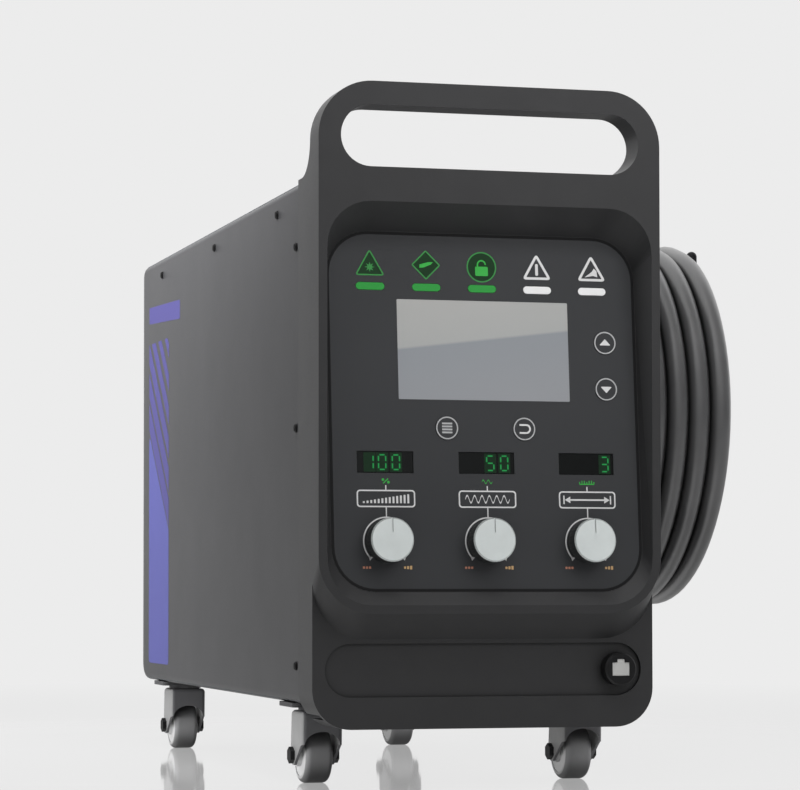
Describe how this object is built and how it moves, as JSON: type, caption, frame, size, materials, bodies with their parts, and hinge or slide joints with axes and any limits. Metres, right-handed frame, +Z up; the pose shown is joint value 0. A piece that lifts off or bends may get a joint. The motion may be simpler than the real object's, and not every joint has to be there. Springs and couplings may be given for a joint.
{
  "type": "laser welding machine",
  "caption": "Wheeled laser welding machine: tall case with a moulded handle front, control panel, coiled torch hose on side hooks, hand torch, rear fan and swivel casters.",
  "frame": {"origin": "on the floor, below the centre of the box round everything but the hose", "axes": "+X to the right seen from the front, +Y from the control panel to the rear, +Z up"},
  "size_m": [0.4158, 0.8352, 0.6075],
  "materials": {
    "front": "satin black moulding",
    "fascia": "satin dark film",
    "glass": "clear gloss",
    "dark_plastic": "matte",
    "readout": "smoked window",
    "lens": "translucent",
    "board": "solder mask",
    "zinc": "zinc plated",
    "dial": "fine turned satin",
    "key": "satin",
    "port": "matte black",
    "insert": "pale grey",
    "panel": "dark grey powder coat",
    "cover": "black powder coat",
    "screw": "black oxide",
    "frame": "grey powder coat",
    "aluminium": "anodised",
    "brass": "machined",
    "hose": "ribbed sheath",
    "copper": "machined copper",
    "trigger": "red",
    "breaker": "pale",
    "fork": "dark grey",
    "hub": "pale grey",
    "tyre": "grey rubber tread"
  },
  "bodies": {
    "machine": {"front_bezel": "front", "control_fascia": "fascia", "screen_glass": "glass", "display_module": "dark_plastic", "readout_modules": "readout", "indicator_lenses": "lens", "control_board": "board", "potentiometers": "zinc", "service_port": "port", "port_insert": "insert", "base_tray": "cover", "left_side_panel": "panel", "right_side_panel": "panel", "top_cover": "cover", "rear_panel": "cover", "panel_screws": "screw", "inner_frame": "frame", "heat_sink": "aluminium", "laser_source": "aluminium", "power_supply": "zinc", "fan_frame": "dark_plastic", "fan_guard": "zinc", "breaker_body": "breaker", "mains_gland": "port", "gas_inlet": "brass", "earth_stud": "zinc", "hose_gland": "port", "hose_hooks": "screw", "hose_coil": "hose", "hose_tail": "hose", "torch_body": "dark_plastic", "torch_nozzle": "copper", "torch_cradle": "screw", "caster_plates": "frame"},
    "power_dial": {"power_knob": "dial"},
    "frequency_dial": {"frequency_knob": "dial"},
    "length_dial": {"length_knob": "dial"},
    "up_key": {"key_up": "key"},
    "down_key": {"key_down": "key"},
    "menu_key": {"key_menu": "key"},
    "back_key": {"key_back": "key"},
    "fan_rotor": {"fan_rotor": "dark_plastic"},
    "breaker_lever": {"breaker_lever": "port"},
    "torch_trigger": {"torch_trigger": "trigger"},
    "front_left_swivel": {"front_left_fork": "fork", "front_left_axle": "screw"},
    "front_left_wheel": {"front_left_hub": "hub", "front_left_tyre": "tyre"},
    "front_right_swivel": {"front_right_fork": "fork", "front_right_axle": "screw"},
    "front_right_wheel": {"front_right_hub": "hub", "front_right_tyre": "tyre"},
    "rear_left_swivel": {"rear_left_fork": "fork", "rear_left_axle": "screw"},
    "rear_left_wheel": {"rear_left_hub": "hub", "rear_left_tyre": "tyre"},
    "rear_right_swivel": {"rear_right_fork": "fork", "rear_right_axle": "screw"},
    "rear_right_wheel": {"rear_right_hub": "hub", "rear_right_tyre": "tyre"}
  },
  "joints": [
    {"name": "power_dial_turn", "type": "hinge", "parent": "machine", "child": "power_dial", "pos_m": [-0.14478, -0.40771, 0.21477], "axis": [0, -0.9968, 0.0802], "range_deg": [-137, 137]},
    {"name": "frequency_dial_turn", "type": "hinge", "parent": "machine", "child": "frequency_dial", "pos_m": [-0.05378, -0.40771, 0.21477], "axis": [0, -0.9968, 0.0802], "range_deg": [-137, 137]},
    {"name": "length_dial_turn", "type": "hinge", "parent": "machine", "child": "length_dial", "pos_m": [0.03722, -0.40771, 0.21477], "axis": [0, -0.9968, 0.0802], "range_deg": [-137, 137]},
    {"name": "up_key_press", "type": "slide", "parent": "machine", "child": "up_key", "axis": [0, 0.9968, -0.0802], "range_m": [0, 0.0006], "stiffness_N_per_m": 600},
    {"name": "down_key_press", "type": "slide", "parent": "machine", "child": "down_key", "axis": [0, 0.9968, -0.0802], "range_m": [0, 0.0006], "stiffness_N_per_m": 600},
    {"name": "menu_key_press", "type": "slide", "parent": "machine", "child": "menu_key", "axis": [0, 0.9968, -0.0802], "range_m": [0, 0.0006], "stiffness_N_per_m": 600},
    {"name": "back_key_press", "type": "slide", "parent": "machine", "child": "back_key", "axis": [0, 0.9968, -0.0802], "range_m": [0, 0.0006], "stiffness_N_per_m": 600},
    {"name": "fan_spin", "type": "hinge", "parent": "machine", "child": "fan_rotor", "pos_m": [-0.05378, 0.36161, 0.39], "axis": [0, 1, 0], "continuous": true},
    {"name": "breaker_switch", "type": "hinge", "parent": "machine", "child": "breaker_lever", "pos_m": [0.00822, 0.38751, 0.245], "axis": [1, 0, 0], "range_deg": [0, 70]},
    {"name": "torch_trigger_press", "type": "hinge", "parent": "machine", "child": "torch_trigger", "pos_m": [0.17122, 0.02195, 0.20739], "axis": [0, -1, 0], "range_deg": [0, 6], "stiffness_Nm_per_rad": 0.6},
    {"name": "front_left_swivel_turn", "type": "hinge", "parent": "machine", "child": "front_left_swivel", "pos_m": [-0.17528, -0.27639, 0.066], "axis": [0, 0, 1], "continuous": true},
    {"name": "front_left_wheel_roll", "type": "hinge", "parent": "front_left_swivel", "child": "front_left_wheel", "pos_m": [-0.17528, -0.26139, 0.025], "axis": [1, 0, 0], "continuous": true},
    {"name": "front_right_swivel_turn", "type": "hinge", "parent": "machine", "child": "front_right_swivel", "pos_m": [0.06772, -0.27639, 0.066], "axis": [0, 0, 1], "continuous": true},
    {"name": "front_right_wheel_roll", "type": "hinge", "parent": "front_right_swivel", "child": "front_right_wheel", "pos_m": [0.06772, -0.26139, 0.025], "axis": [1, 0, 0], "continuous": true},
    {"name": "rear_left_swivel_turn", "type": "hinge", "parent": "machine", "child": "rear_left_swivel", "pos_m": [-0.17528, 0.30361, 0.066], "axis": [0, 0, 1], "continuous": true},
    {"name": "rear_left_wheel_roll", "type": "hinge", "parent": "rear_left_swivel", "child": "rear_left_wheel", "pos_m": [-0.17528, 0.31861, 0.025], "axis": [1, 0, 0], "continuous": true},
    {"name": "rear_right_swivel_turn", "type": "hinge", "parent": "machine", "child": "rear_right_swivel", "pos_m": [0.06772, 0.30361, 0.066], "axis": [0, 0, 1], "continuous": true},
    {"name": "rear_right_wheel_roll", "type": "hinge", "parent": "rear_right_swivel", "child": "rear_right_wheel", "pos_m": [0.06772, 0.31861, 0.025], "axis": [1, 0, 0], "continuous": true}
  ]
}
